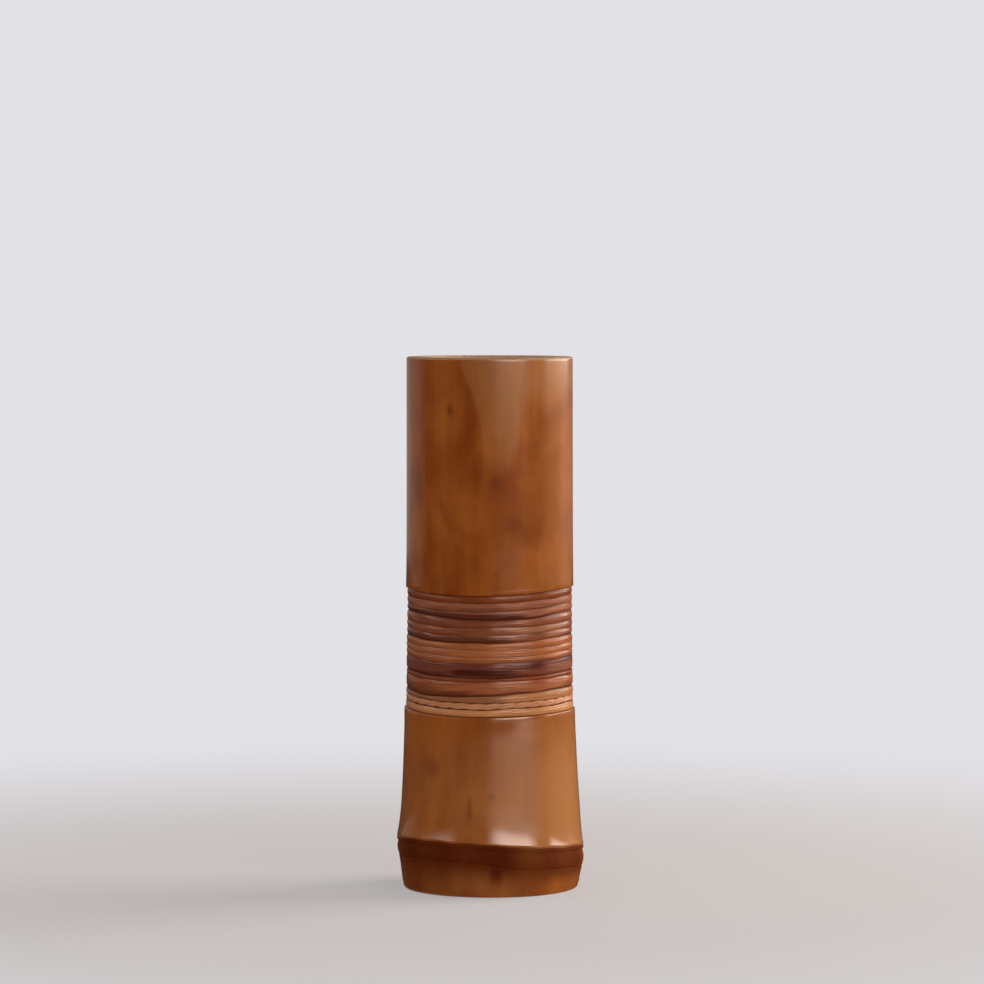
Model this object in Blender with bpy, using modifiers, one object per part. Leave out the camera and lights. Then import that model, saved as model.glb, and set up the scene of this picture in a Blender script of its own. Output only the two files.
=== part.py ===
"""Bamboo vase with a rattan-wound band: one lacquered culm and ten lengths of split rattan.

Metres, +Z up. The origin is the centre of the ring that the vase stands on, and -Y is its front.
"""

import math
from collections import namedtuple

import bmesh
import bpy
from mathutils import Matrix, Vector
from mathutils.geometry import intersect_point_line

# Culm: the bamboo tube above its node
CULM_HEIGHT = 0.160
MOUTH_RADIUS = 0.0250
WALL = 0.0050
RIM_ROUNDING = 0.0006

# Swelling of the culm towards the node, and the sharp ledge that the leaf sheath left
LEDGE_HEIGHT = 0.0144
NODE_SWELL = 0.0026
SWELL_LENGTH = 0.030
LEDGE_LIP = 0.0008
LEDGE_FLARE = 0.0050
LEDGE_THICKNESS = 0.0012
LEDGE_UNDERCUT = 0.0004

# Slant of the node: highest at the front left, with one local dip at the front right
NODE_SLANT = 0.0022
SLANT_AZIMUTH = math.radians(-128)
LEDGE_DIP = 0.0010
DIP_AZIMUTH = math.radians(-52)
DIP_SPREAD = math.radians(34)
SLANT_FADE = 0.014

# Stub below the ledge: the node's ridge, its scar line, and the foot
SCAR_DROP = 0.0058
RIDGE_RISE = 0.0004
SCAR_DEPTH = 0.0002
FOOT_TAPER = 0.0012
FOOT_ROUNDING = 0.0006
STUB_WALL = 0.0050

# Diaphragm: the node's own wall across the tube, which is the floor of the vessel
DIAPHRAGM_HEIGHT = 0.0115
DIAPHRAGM_THICKNESS = 0.0030
DIAPHRAGM_DISH = 0.0012
INNER_FILLET = 0.0035

# Turned recess for the winding
RECESS_FOOT = 0.0535
RECESS_DEPTH = 0.0022

# Split rattan
STRIP_THICKNESS = 0.0013
STRIP_EDGE = 0.0008
EDGE_WIDTH = 0.0018
TWIST_WIDTH = 0.0018
STRAW_WIDTH = 0.0018
TAN_WIDTH = 0.0037
THREAD_WIDTH = 0.0009
WINE_WIDTH = 0.0040
AMBER_WIDTH = 0.0016
RUSSET_WIDTH = 0.0018
BROWN_WIDTH = 0.0021
CAP_WIDTH = 0.0018

# Clearances: between pieces that touch, and between the turns of one length
FIT = 0.0003
TURN_GAP = 0.00046

# Tails: each end of a length turns in to a pocket in the recess's floor
TAIL_SEAT = 0.0015
BEND_INSIDE = 0.0004
JOIN_STAGGER = math.radians(8)

# Fineness of the round work
CULM_STEPS = 72
TURN_POINTS = 24
CLIMB_POINTS = 2
BEND_POINTS = 3
ARCH_POINTS = 6
BACK = math.radians(90)

Length = namedtuple("Length", "name turns width side colour roughness")
Row = namedtuple("Row", "length foot climbs_on")

# The lengths of rattan, from the lower shoulder of the recess up. A single turn joins to one
# side of the back, left or right of it by turns, so that no pocket opens into the next. Lengths
# of side 0 are one coil: each turn climbs to the next across the back, and so does each length.
LENGTHS = (
    Length("rattan_lower_edge", 1, EDGE_WIDTH, 1, (0.46, 0.26, 0.14), 0.42),
    Length("rattan_twist", 1, TWIST_WIDTH, -1, (0.47, 0.25, 0.13), 0.45),
    Length("rattan_straw", 1, STRAW_WIDTH, 1, (0.42, 0.21, 0.11), 0.42),
    Length("rattan_tan", 1, TAN_WIDTH, -1, (0.34, 0.14, 0.06), 0.38),
    Length("rattan_thread", 1, THREAD_WIDTH, 1, (0.28, 0.09, 0.04), 0.38),
    Length("rattan_wine", 1, WINE_WIDTH, -1, (0.10, 0.02, 0.015), 0.30),
    Length("rattan_amber", 3, AMBER_WIDTH, 0, (0.32, 0.11, 0.04), 0.32),
    Length("rattan_russet", 3, RUSSET_WIDTH, 0, (0.22, 0.07, 0.035), 0.32),
    Length("rattan_brown", 2, BROWN_WIDTH, 0, (0.16, 0.05, 0.03), 0.34),
    Length("rattan_upper_edge", 1, CAP_WIDTH, 1, (0.19, 0.06, 0.025), 0.36),
)


def collection(name):
    made = bpy.data.collections.new(name)
    bpy.context.scene.collection.children.link(made)
    return made


def material(name, colour, roughness, coat=0.0):
    made = bpy.data.materials.new(name)
    made.use_nodes = True
    shader = made.node_tree.nodes["Principled BSDF"]
    shader.inputs["Base Color"].default_value = (*colour, 1.0)
    shader.inputs["Roughness"].default_value = roughness
    shader.inputs["Metallic"].default_value = 0.0
    shader.inputs["Coat Weight"].default_value = coat
    return made


def arc(centre, radius, start, end, steps):
    """Points on a circular arc in the profile's plane, with its angles in degrees."""
    r, z = centre
    angles = (math.radians(start + (end - start) * i / steps) for i in range(steps + 1))
    return [(r + radius * math.cos(a), z + radius * math.sin(a)) for a in angles]


def culm_radius(z):
    """Outer radius of the culm above its ledge: nearly straight, swelling towards the node."""
    return MOUTH_RADIUS + NODE_SWELL * math.exp(-(z - LEDGE_HEIGHT) / SWELL_LENGTH)


def recess_radius(z):
    return culm_radius(z) - RECESS_DEPTH


def length_height(length):
    """Height that a length of rattan takes up in the recess, without the fit at its sides."""
    return length.turns * length.width + (length.turns - 1) * TURN_GAP


def rows():
    """Every length with the height of its first turn's lower edge, and the recess's head."""
    placed = []
    foot = RECESS_FOOT + FIT
    for length, following in zip(LENGTHS, [*LENGTHS[1:], None]):
        climbs_on = length.side == 0 and following is not None and following.side == 0
        placed.append(Row(length, foot, climbs_on))
        foot += length_height(length) + (TURN_GAP if climbs_on else FIT)
    return placed, foot


def vessel_floor(r):
    return DIAPHRAGM_HEIGHT + DIAPHRAGM_DISH * (r / bore_radius()) ** 2


def bore_radius():
    return MOUTH_RADIUS - WALL


def ledge_radius():
    return culm_radius(LEDGE_HEIGHT) + LEDGE_LIP


def scar_height():
    return LEDGE_HEIGHT - SCAR_DROP


def stub_radius():
    return ledge_radius() - LEDGE_UNDERCUT


def foot_radius():
    return stub_radius() - FOOT_TAPER


def stub_bore_radius():
    return foot_radius() - STUB_WALL


def inside_profile():
    """Vessel's floor from the axis out, the rounded corner, and the bore up to the rim."""
    bore = bore_radius()
    flat = bore - INNER_FILLET
    floor = [(flat * i / 3, vessel_floor(flat * i / 3)) for i in range(3)]
    corner = arc((flat, vessel_floor(flat) + INNER_FILLET), INNER_FILLET, -90, 0, 3)
    rim = arc((bore + RIM_ROUNDING, CULM_HEIGHT - RIM_ROUNDING), RIM_ROUNDING, 180, 90, 2)
    return floor + corner + rim


def wall_profile():
    """Outer side of the culm from the rim down to the start of the ledge's flare."""
    rim_centre = (culm_radius(CULM_HEIGHT) - RIM_ROUNDING, CULM_HEIGHT - RIM_ROUNDING)
    rim = arc(rim_centre, RIM_ROUNDING, 90, 0, 2)
    head, foot = rows()[1], RECESS_FOOT
    upper = [(culm_radius(z), z) for z in between(CULM_HEIGHT - RIM_ROUNDING, head, 3)]
    recess = [(recess_radius(z), z) for z in (head, foot)]
    flare_top = LEDGE_HEIGHT + LEDGE_FLARE
    lower = [(culm_radius(z), z) for z in [foot, *between(foot, flare_top, 4)]]
    return rim + upper + recess + lower


def between(start, end, steps):
    """Heights from just past the start to the end, in even steps."""
    return [start + (end - start) * i / steps for i in range(1, steps + 1)]


def node_profile():
    """Flare, sharp ledge, undercut, rounded ridge and scar line of the node."""
    points = []
    for z in between(LEDGE_HEIGHT + LEDGE_FLARE, LEDGE_HEIGHT, 4):
        rise = 1 - (z - LEDGE_HEIGHT) / LEDGE_FLARE
        points.append((culm_radius(z) + LEDGE_LIP * rise**2, z))
    lip_foot = LEDGE_HEIGHT - LEDGE_THICKNESS
    undercut_foot = lip_foot - LEDGE_UNDERCUT
    points += [(ledge_radius(), lip_foot), (stub_radius(), undercut_foot)]
    ridge_foot = scar_height() + SCAR_DEPTH
    for step, z in enumerate(between(undercut_foot, ridge_foot, 4), 1):
        points.append((stub_radius() + RIDGE_RISE * math.sin(math.pi * step / 4), z))
    points.append((stub_radius() - SCAR_DEPTH, scar_height()))
    points.append((stub_radius(), scar_height() - SCAR_DEPTH))
    return points


def foot_profile():
    """Foot's rounded edge, the ring it stands on, the stub's bore and the diaphragm's underside."""
    bore = stub_bore_radius()
    edge = arc((foot_radius() - FOOT_ROUNDING, FOOT_ROUNDING), FOOT_ROUNDING, 0, -90, 2)
    ring = [(bore + FOOT_ROUNDING, 0.0), (bore, FOOT_ROUNDING)]
    flat = bore - INNER_FILLET
    under = vessel_floor(flat) - DIAPHRAGM_THICKNESS
    corner = arc((flat, under - INNER_FILLET), INNER_FILLET, 0, 90, 3)
    roof = [(flat * i / 3, vessel_floor(flat * i / 3) - DIAPHRAGM_THICKNESS) for i in (2, 1, 0)]
    return edge + ring + corner + roof


def turned(name, profile, steps):
    """Turns a profile of (radius, height) points about Z and returns the mesh."""
    outline = bpy.data.meshes.new(name + "_profile")
    edges = [(i, i + 1) for i in range(len(profile) - 1)]
    outline.from_pydata([(r, 0.0, z) for r, z in profile], edges, [])
    spun = bpy.data.objects.new(name + "_profile", outline)
    bpy.context.scene.collection.objects.link(spun)
    screw = spun.modifiers.new("Turn", "SCREW")
    screw.axis = "Z"
    screw.steps = steps
    screw.render_steps = steps
    screw.use_merge_vertices = True
    screw.merge_threshold = 0.00001
    graph = bpy.context.evaluated_depsgraph_get()
    mesh = bpy.data.meshes.new_from_object(spun.evaluated_get(graph))
    mesh.name = name
    bpy.data.objects.remove(spun)
    return mesh


def slant_node(mesh):
    """Tilts the outside of the node as one and lets its ledge sag over a short arc.

    The shift fades to nothing at the foot and above the flare, and the inside stays level.
    """
    for vertex in mesh.vertices:
        x, y, z = vertex.co
        if math.hypot(x, y) < stub_bore_radius() + FIT:
            continue
        azimuth = math.atan2(y, x)
        above = (z - LEDGE_HEIGHT) / SLANT_FADE
        below = 1 - z / scar_height()
        away = min(max(above, below, 0), 1)
        fade = math.cos(away * math.pi / 2) ** 2
        off_dip = min(abs(math.remainder(azimuth - DIP_AZIMUTH, math.tau)) / DIP_SPREAD, 1)
        dip = LEDGE_DIP * math.cos(off_dip * math.pi / 2) ** 2
        vertex.co.z += fade * (NODE_SLANT * math.cos(azimuth - SLANT_AZIMUTH) - dip)


def turn_radius(z):
    """Radius of a turn's middle line at its points: its chords clear the recess by the fit."""
    inside = (recess_radius(z) + FIT) / math.cos(math.pi / TURN_POINTS)
    return inside + STRIP_THICKNESS / 2


def bend_radius():
    return BEND_INSIDE + STRIP_THICKNESS / 2


def tail_offset(z):
    """Angle between the end of a level run and its tail, which points at the axis."""
    return math.asin(bend_radius() / (turn_radius(z) - bend_radius()))


def tail(azimuth, z, sense):
    """Bend and straight tail from the end of a run into its pocket; sense is 1 onward, -1 back."""
    bend = bend_radius()
    centre = turn_radius(z) - bend
    swing = math.pi / 2 + tail_offset(z)
    points = []
    for i in range(1, BEND_POINTS + 1):
        a = azimuth + sense * swing * i / BEND_POINTS
        x = centre * math.cos(azimuth) + bend * math.cos(a)
        y = centre * math.sin(azimuth) + bend * math.sin(a)
        points.append(Vector((x, y, z)))
    direction = azimuth + sense * tail_offset(z)
    deep = recess_radius(z) - TAIL_SEAT
    points.append(Vector((deep * math.cos(direction), deep * math.sin(direction), z)))
    return points


def half_pair(z):
    """Half the angle between two ends that meet, so that their tails stand side by side."""
    between_tails = STRIP_THICKNESS + TURN_GAP
    return tail_offset(z) + between_tails / 2 / (recess_radius(z) - TAIL_SEAT)


def half_climb():
    return math.pi * CLIMB_POINTS / TURN_POINTS


def half_thickness(z):
    """Angle that half the strip's thickness takes up at the recess's floor."""
    return STRIP_THICKNESS / 2 / recess_radius(z)


def run_ends(row, starts_coil):
    """Azimuths at which a length's first turn starts and its last turn ends."""
    length, z = row.length, row.foot
    whole = length.turns * math.tau
    if length.side:
        middle = BACK + length.side * JOIN_STAGGER
        return middle + half_pair(z), middle + whole - half_pair(z)
    past_climb = BACK + half_climb() + half_thickness(z)
    start = past_climb + (tail_offset(z) if starts_coil else 2 * half_pair(z))
    if row.climbs_on:
        return start, past_climb + whole
    return start, BACK - half_climb() + whole - half_thickness(z) - tail_offset(z)


def climb(length, azimuth):
    """Height above the first turn: level turns, each stepping up to the next across the back."""
    if length.side:
        return 0.0
    turn, part = divmod(azimuth - BACK + half_climb(), math.tau)
    return (length.width + TURN_GAP) * (turn - 1 + min(part / (2 * half_climb()), 1))


def run_azimuths(start, end):
    """The start, every even division of the circle after it, counted from the back, and the end."""
    step = math.tau / TURN_POINTS
    first = math.floor((start - BACK) / step) + 1
    last = math.ceil((end - BACK) / step) - 1
    return [start, *(BACK + step * i for i in range(first, last + 1)), end]


def route(row, starts_coil):
    """Middle line of one length: a tail, its turns, and a tail."""
    length = row.length
    start, end = run_ends(row, starts_coil)
    level = row.foot + length.width / 2
    points = tail(start, level, -1)[::-1]
    for a in run_azimuths(start, end):
        height = level + climb(length, a)
        r = turn_radius(height)
        points.append(Vector((r * math.cos(a), r * math.sin(a), height)))
    return points + tail(end, level + climb(length, end), 1)


def self_gap(length, points):
    """Least gap between a length and itself, from its middle line and its section."""
    least = math.inf
    for i, point in enumerate(points):
        for j in range(i + TURN_POINTS // 2, len(points) - 1):
            near, share = intersect_point_line(point, points[j], points[j + 1])
            if not 0 <= share <= 1:
                near = points[j] if share < 0 else points[j + 1]
            apart = near - point
            across = length.width if abs(apart.z) > apart.xy.length else STRIP_THICKNESS
            least = min(least, apart.length - across)
    return least


def strip_section(length, guides):
    """Section of split rattan: flat inside, arched outside, as a closed outline."""
    half = length.width / 2
    base = -STRIP_THICKNESS / 2
    outline = []
    for i in range(ARCH_POINTS):
        a = math.pi * i / (ARCH_POINTS - 1)
        rise = STRIP_EDGE + (STRIP_THICKNESS - STRIP_EDGE) * math.sin(a)
        outline.append((base + rise, half * math.cos(a)))
    inset = half - min(STRIP_EDGE / 2, half / 2)
    outline += [(base, -inset), (base, inset)]
    curve = bpy.data.curves.new(length.name + "_section", "CURVE")
    curve.dimensions = "2D"
    curve.fill_mode = "NONE"
    spline = curve.splines.new("POLY")
    spline.points.add(len(outline) - 1)
    for point, (x, y) in zip(spline.points, outline):
        point.co = (x, y, 0.0, 1.0)
    spline.use_cyclic_u = True
    section = bpy.data.objects.new(length.name + "_section", curve)
    section.hide_render = True
    section.display_type = "WIRE"
    guides.objects.link(section)
    return section


def wound_length(row, starts_coil, parts, guides):
    length = row.length
    points = route(row, starts_coil)
    curve = bpy.data.curves.new(length.name, "CURVE")
    curve.dimensions = "3D"
    curve.twist_mode = "Z_UP"
    curve.bevel_mode = "OBJECT"
    curve.bevel_object = strip_section(length, guides)
    curve.use_fill_caps = True
    spline = curve.splines.new("POLY")
    spline.points.add(len(points) - 1)
    for point, place in zip(spline.points, points):
        point.co = (*place, 1.0)
    wound = bpy.data.objects.new(length.name, curve)
    wound.data.materials.append(material(length.name, length.colour, length.roughness, 0.3))
    parts.objects.link(wound)
    print(f"{length.name}: least gap to itself {self_gap(length, points) * 1000:.2f} mm")


def pocket(azimuth, foot, width, thickness):
    """Box that cuts one pocket, from inside the recess's floor out past its surface."""
    z = foot + width / 2
    deep = recess_radius(z) - TAIL_SEAT - FIT
    shallow = recess_radius(z) + FIT
    size = Vector((shallow - deep, thickness + 2 * FIT, width + 2 * FIT))
    place = Matrix.Translation(((shallow + deep) / 2, 0.0, z))
    return Matrix.Rotation(azimuth, 4, "Z") @ place @ Matrix.Diagonal((*size, 1.0))


def pockets(row, starts_coil, following):
    """Pockets of one length's ends. Two tails that meet share one, cut with the lower length."""
    length, pair = row.length, 2 * STRIP_THICKNESS + TURN_GAP
    if length.side:
        return [pocket(BACK + length.side * JOIN_STAGGER, row.foot, length.width, pair)]
    cut = []
    start, end = run_ends(row, starts_coil)
    if starts_coil:
        azimuth = start - tail_offset(row.foot)
        cut.append(pocket(azimuth, row.foot, length.width, STRIP_THICKNESS))
    if row.climbs_on:
        width = max(length.width, following.length.width)
        cut.append(pocket(end + half_pair(following.foot), following.foot, width, pair))
    else:
        foot = row.foot + climb(length, end)
        cut.append(pocket(end + tail_offset(foot), foot, length.width, STRIP_THICKNESS))
    return cut


def pocket_cutter(places, cutters):
    shape = bmesh.new()
    for place in places:
        bmesh.ops.create_cube(shape, size=1.0, matrix=place)
    mesh = bpy.data.meshes.new("tail_pockets")
    shape.to_mesh(mesh)
    shape.free()
    cutter = bpy.data.objects.new("tail_pockets", mesh)
    cutter.hide_render = True
    cutter.display_type = "WIRE"
    cutters.objects.link(cutter)
    return cutter


def culm(parts, cutter):
    profile = inside_profile() + wall_profile() + node_profile() + foot_profile()
    mesh = turned("culm", profile, CULM_STEPS)
    slant_node(mesh)
    mesh.shade_smooth()
    mesh.set_sharp_from_angle(angle=math.radians(35))
    body = bpy.data.objects.new("culm", mesh)
    mesh.materials.append(material("lacquered_bamboo", (0.24, 0.06, 0.012), 0.30, 0.5))
    parts.objects.link(body)
    cut = body.modifiers.new("Tail pockets", "BOOLEAN")
    cut.operation = "DIFFERENCE"
    cut.object = cutter
    cut.solver = "EXACT"


def build():
    for thing in list(bpy.data.objects):
        bpy.data.objects.remove(thing)
    parts = collection("rattan_vase")
    guides = collection("sections_and_cutters")
    placed, _ = rows()
    cuts = []
    joined = False
    for row, following in zip(placed, [*placed[1:], None]):
        starts_coil = not joined
        wound_length(row, starts_coil, parts, guides)
        cuts += pockets(row, starts_coil, following)
        joined = row.climbs_on
    culm(parts, pocket_cutter(cuts, guides))


build()
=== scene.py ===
"""Looks of the bamboo vase: a lacquered culm with ten lengths of split rattan round its waist.

Metres, +Z up, -Y is the front. A bearing is an angle round the vase in degrees, measured from
the front towards +X, so the back, where the rattan is joined, is at 180.
"""

import math
from collections import namedtuple

import bmesh
import bpy
import numpy as np
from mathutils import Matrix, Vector


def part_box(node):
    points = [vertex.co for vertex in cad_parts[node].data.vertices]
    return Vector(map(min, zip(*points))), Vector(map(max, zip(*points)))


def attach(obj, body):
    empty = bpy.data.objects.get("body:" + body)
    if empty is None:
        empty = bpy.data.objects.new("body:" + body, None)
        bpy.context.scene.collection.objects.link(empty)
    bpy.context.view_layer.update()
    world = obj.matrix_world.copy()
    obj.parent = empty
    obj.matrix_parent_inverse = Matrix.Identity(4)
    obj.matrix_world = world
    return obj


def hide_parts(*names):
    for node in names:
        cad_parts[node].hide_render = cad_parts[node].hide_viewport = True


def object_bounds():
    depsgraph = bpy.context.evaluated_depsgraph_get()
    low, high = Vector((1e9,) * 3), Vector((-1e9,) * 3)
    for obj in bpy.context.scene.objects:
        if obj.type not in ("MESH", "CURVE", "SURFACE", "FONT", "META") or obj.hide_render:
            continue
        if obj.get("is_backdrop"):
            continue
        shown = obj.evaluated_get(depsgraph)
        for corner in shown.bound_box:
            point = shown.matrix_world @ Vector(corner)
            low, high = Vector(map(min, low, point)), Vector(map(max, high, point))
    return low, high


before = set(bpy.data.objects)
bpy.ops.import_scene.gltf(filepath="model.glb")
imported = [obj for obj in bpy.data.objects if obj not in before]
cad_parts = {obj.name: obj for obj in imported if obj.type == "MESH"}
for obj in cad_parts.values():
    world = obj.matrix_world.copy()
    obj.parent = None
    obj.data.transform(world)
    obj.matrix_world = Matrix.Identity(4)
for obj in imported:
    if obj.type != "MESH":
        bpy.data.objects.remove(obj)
CAD_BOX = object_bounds()

MM = 0.001

# Stretch of bearings in which something holds: its ends, how soft they are, and the amount
Span = namedtuple("Span", "start end soft amount")

# Culm, as turned
MOUTH_RADIUS = 25.0 * MM
WALL = 5.0 * MM
RIM_ROUNDING = 0.6 * MM
LEDGE_HEIGHT = 14.4 * MM
NODE_SWELL = 2.6 * MM
SWELL_LENGTH = 30.0 * MM
LEDGE_LIP = 0.8 * MM
LEDGE_FLARE = 5.0 * MM
LEDGE_THICKNESS = 1.2 * MM
LEDGE_ROUNDING = 0.35 * MM
LEDGE_UNDERCUT = 0.4 * MM
NODE_SLANT = 2.2 * MM
SLANT_BEARING = -38
LEDGE_DIP = 0.42 * MM
DIP_BEARING = 24
DIP_SPREAD = 42
SLANT_FADE = 14.0 * MM
NODE_WAVE = 0.10 * MM
NODE_MARGIN = 2 * MM
SCAR_DROP = 5.8 * MM
RIDGE_RISE = 0.4 * MM
SCAR_DEPTH = 0.2 * MM
SCAR_SAG = Span(6, 100, 18, 0.8 * MM)
FOOT_TAPER = 1.2 * MM
FOOT_ROUNDING = 0.6 * MM
STUB_WALL = 5.0 * MM
DIAPHRAGM_HEIGHT = 11.5 * MM
DIAPHRAGM_THICKNESS = 3.0 * MM
DIAPHRAGM_DISH = 1.2 * MM
INNER_FILLET = 3.5 * MM
RECESS_DEPTH = 2.2 * MM
SHOULDER_ROUNDING = 0.25 * MM

# Rattan, as wound
STRIP_THICKNESS = 1.3 * MM
FIT = 0.3 * MM
TURN_GAP = 0.46 * MM
HAIRLINE = 0.08 * MM
TAIL_SEAT = 1.5 * MM
BEND_INSIDE = 0.4 * MM
JOIN_STAGGER = 8
CLIMB = 15
BACK = 180
BAND_MIDDLE = 70 * MM
BEND_STEPS = 9
TAIL_STEPS = 3

# Starts of the random irregularities, one for each kind
FLUTE_SEED = 5
PIT_SEED = 8
NODE_SEED = 11
BURN_RUN_SEED = 21
BURN_DEPTH_SEED = 22
CORNER_SEED = 31
SEAM_SEED = 40
RIB_SEED = 60
SWELL_SEED = 90
GROOVE_SEED = 130

# Wall as grown, in mm: flutes and fine pits, which turn by some degrees as they rise, and a bud's scar
FLUTE_DEPTH = 0.07
FLUTE_SETBACK = 0.05
FLUTE_TURN = 0.9
FLUTE_CLEARANCE = 6 * MM
PIT_DEPTH = 0.05
PIT_TURN = 40
BUD_DEPTH = 0.35
BUD_BEARING = 4
BUD_HEIGHT = 10.0 * MM
BUD_SIZE = (8, 4.5 * MM)

# Dark stain round the node: its edge at the ledge, how far it runs down the foot, and where further
# or less far; how dark it is under the scar line, how uneven, and how dark the line itself is
BURN_EDGE = (LEDGE_HEIGHT - LEDGE_ROUNDING, LEDGE_HEIGHT + 0.15 * MM)
BURN_RUN = 8.4 * MM
BURN_LONGER = Span(-150, -26, 20, 0.12)
BURN_SHORTER = Span(-24, -5, 12, -0.25)
BURN_WAVE = 0.12
BURN_UNDER_SCAR = 0.93
BURN_STRENGTH = 0.92
BURN_UNEVEN = 0.10
SCAR_BAND = (0.2 * MM, 0.4 * MM)
SCAR_LINE = 0.8
SCAR_LINE_WIDTH = 0.45 * MM
BUD_STAIN = (BUD_BEARING, BUD_HEIGHT - 2 * MM, 12, 8 * MM)

# Painted shade on the recess's bare floor, and what is added where the joins leave it open
RECESS_SHADE = 0.35
OPEN_FLOOR_SHADE = Span(130, 230, 30, 0.55)

# Painted warm light, for light bounced up from below and light falling on the right: where it fades upwards
# and rises from the foot, and how strong it is round the culm
PAINTED_LIGHT_FADE = (30 * MM, 62 * MM)
PAINTED_LIGHT_RISE = (8 * MM, 16 * MM)
PAINTED_LIGHT_AT_FOOT = 0.25
PAINTED_LIGHT_ALL_ROUND = 0.24
PAINTED_LIGHT_FRONT = Span(-26, 8, 16, 0.14)
PAINTED_LIGHT_RIGHT = Span(15, 120, 50, 0.36)
PAINTED_LIGHT_SIDE = Span(28, 120, 40, 0.21)
PAINTED_LIGHT_SIDE_RISE = (4 * MM, 12 * MM)
PAINTED_LIGHT_FOOT = Span(-42, 22, 30, 0.20)
PAINTED_LIGHT_FOOT_FADE = (5 * MM, 9 * MM)

# The painted reflection below the rim, a pale tongue: bearings of its edges, by distance below the rim in mm,
# how soft they are, how strong it is at its left and further right, and where it fades, in mm
TONGUE_DROPS = (0, 12, 18, 27, 32, 40)
TONGUE_LEFT = (-22, -11, -7, -4, -1, 6)
TONGUE_RIGHT = (28, 21, 21, 19, 14, 7)
TONGUE_EDGES = (1.2, 3)
TONGUE_STRENGTH = (0.20, 0.41)
TONGUE_SPREAD = 26
TONGUE_FADE = (18, 41)

# The pale corner at its right: how far down it reaches in mm, how unevenly and how softly, and how
# much less far for each degree past a bearing
CORNER = Span(16, 96, 36, 0.35)
CORNER_DROP = 13
CORNER_WAVE = 2.5
CORNER_SOFT = 5
CORNER_TURN = 50
CORNER_RISE = 0.09

# Blotches in the skin: bearing and height of the middle, half their size in degrees and in mm. Each
# is even over a share of its size, and then fades
SPOT_CORE = 0.2
Mark = namedtuple("Mark", "bearing height wide tall strength")
BLEMISHES = (
    Mark(-28, 144.4, 4, 2.2, 0.60),
    Mark(-8, 127.0, 6, 9.0, 0.35),
    Mark(4, 123.5, 7, 3.6, 0.42),
    Mark(30, 132.0, 9, 10.0, 0.35),
    Mark(17, 110.8, 12, 5.4, 0.40),
    Mark(34, 108.6, 9, 7.5, 0.40),
    Mark(27, 107.2, 16, 5.0, 0.34),
    Mark(24, 114.0, 20, 12.0, 0.24),
    Mark(46, 122.0, 20, 26.0, 0.20),
    Mark(22, 129.5, 9, 8.0, 0.24),
    Mark(54, 140.0, 13, 13.0, 0.12),
    Mark(-12, 141.5, 5, 7.0, 0.18),
    Mark(-13, 147.6, 5, 4.6, 0.28),
    Mark(4, 95.6, 2, 0.9, 0.60),
    Mark(-13, 26.0, 3, 6.5, 0.40),
    Mark(1, 30.0, 3, 1.8, 0.35),
    Mark(-60, 122.0, 10, 12.0, 0.30),
    Mark(-40, 38.0, 8, 4.0, 0.35),
)
# Lighter soft spots of painted reflection, in the same columns as the blotches
PAINTED_REFLECTION_MARKS = (Mark(13, 99.0, 18, 11.0, 0.15),)

# Section of a strip: how far its edges lie below its crown, its ribs, and its unevenness
SHALLOW_GROOVE = 0.12 * MM
DEEP_GROOVE = 0.50 * MM
RIB = 0.014 * MM
RIB_PITCHES = (0.55 * MM, 0.9 * MM)
RIB_WANDER = 1.4
SWELL = 0.05 * MM
SECTION_POINTS = 14
SECTION_SPACING = 0.3 * MM
FLAT_BACK = (0.9, 0.1)
# Where the painted shade in a strip's edges begins, as a share of its half width
EDGE_FROM = 0.55

# The flare over the node, as grown
FLARE_OUT = 0.36 * MM
FLARE_LENGTH = 9.6 * MM

# The twisted strand: its plies, and how far their middles lie from the strand's
PLIES = (0, 120, 240)
PLY_RADIUS = 0.58 * MM
PLY_OUT = 0.18 * MM
PLY_UP = 0.44 * MM
TWIST_PITCH = 13.8 * MM
TWIST_START = 40
PLY_POINTS = 14

# Fineness of the meshes: steps of the culm's profile, and of the bearings
BORE_STEP = 4 * MM
UPPER_STEP = 1.2 * MM
LOWER_STEP = 1.0 * MM
NODE_STEP = 0.3 * MM
FOOT_STEP = 0.5 * MM
CULM_STEPS = 288
TURN_STEPS = 300
POCKET_EDGE = 0.03 * MM
POCKET_EDGE_TURN = 0.06
SHARP_ANGLE = 50

# Finishes of the culm, in the order of its mesh's materials
SKIN, SAWN, BARE = 0, 1, 2


def linear(colour):
    """An sRGB hex colour as linear RGBA."""
    shades = (int(colour[i:i + 2], 16) / 255 for i in (1, 3, 5))
    return (*(s / 12.92 if s <= 0.04045 else ((s + 0.055) / 1.055) ** 2.4 for s in shades), 1.0)


def feed(tree, node, **inputs):
    """Sets a node's inputs to values, or links them to sockets or to the first output of nodes.

    An input is called by its name, or _6 for the one with number 6.
    """
    for name, value in inputs.items():
        socket = node.inputs[int(name[1:]) if name[1:].isdigit() else name.replace("_", " ")]
        if isinstance(value, bpy.types.Node):
            value = value.outputs[0]
        if isinstance(value, bpy.types.NodeSocket):
            tree.links.new(value, socket)
        else:
            socket.default_value = value


def add(tree, kind, settings=None, **inputs):
    """Adds a node with its settings, which may be the stops of a ramp, and its inputs."""
    made = tree.nodes.new(kind)
    for name, value in (settings or {}).items():
        if name == "stops":
            for stop, (position, colour) in zip(made.color_ramp.elements, value):
                stop.position, stop.color = position, linear(colour)
        else:
            setattr(made, name, value)
    feed(tree, made, **inputs)
    return made


def smooth(value, low, high):
    """0 below low, 1 above high, eased between."""
    t = np.clip((value - low) / (high - low), 0, 1)
    return t * t * (3 - 2 * t)


def off(bearing, centre):
    """Signed angle from a centre to a bearing, the short way round."""
    return (bearing - centre + 180) % 360 - 180


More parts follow.
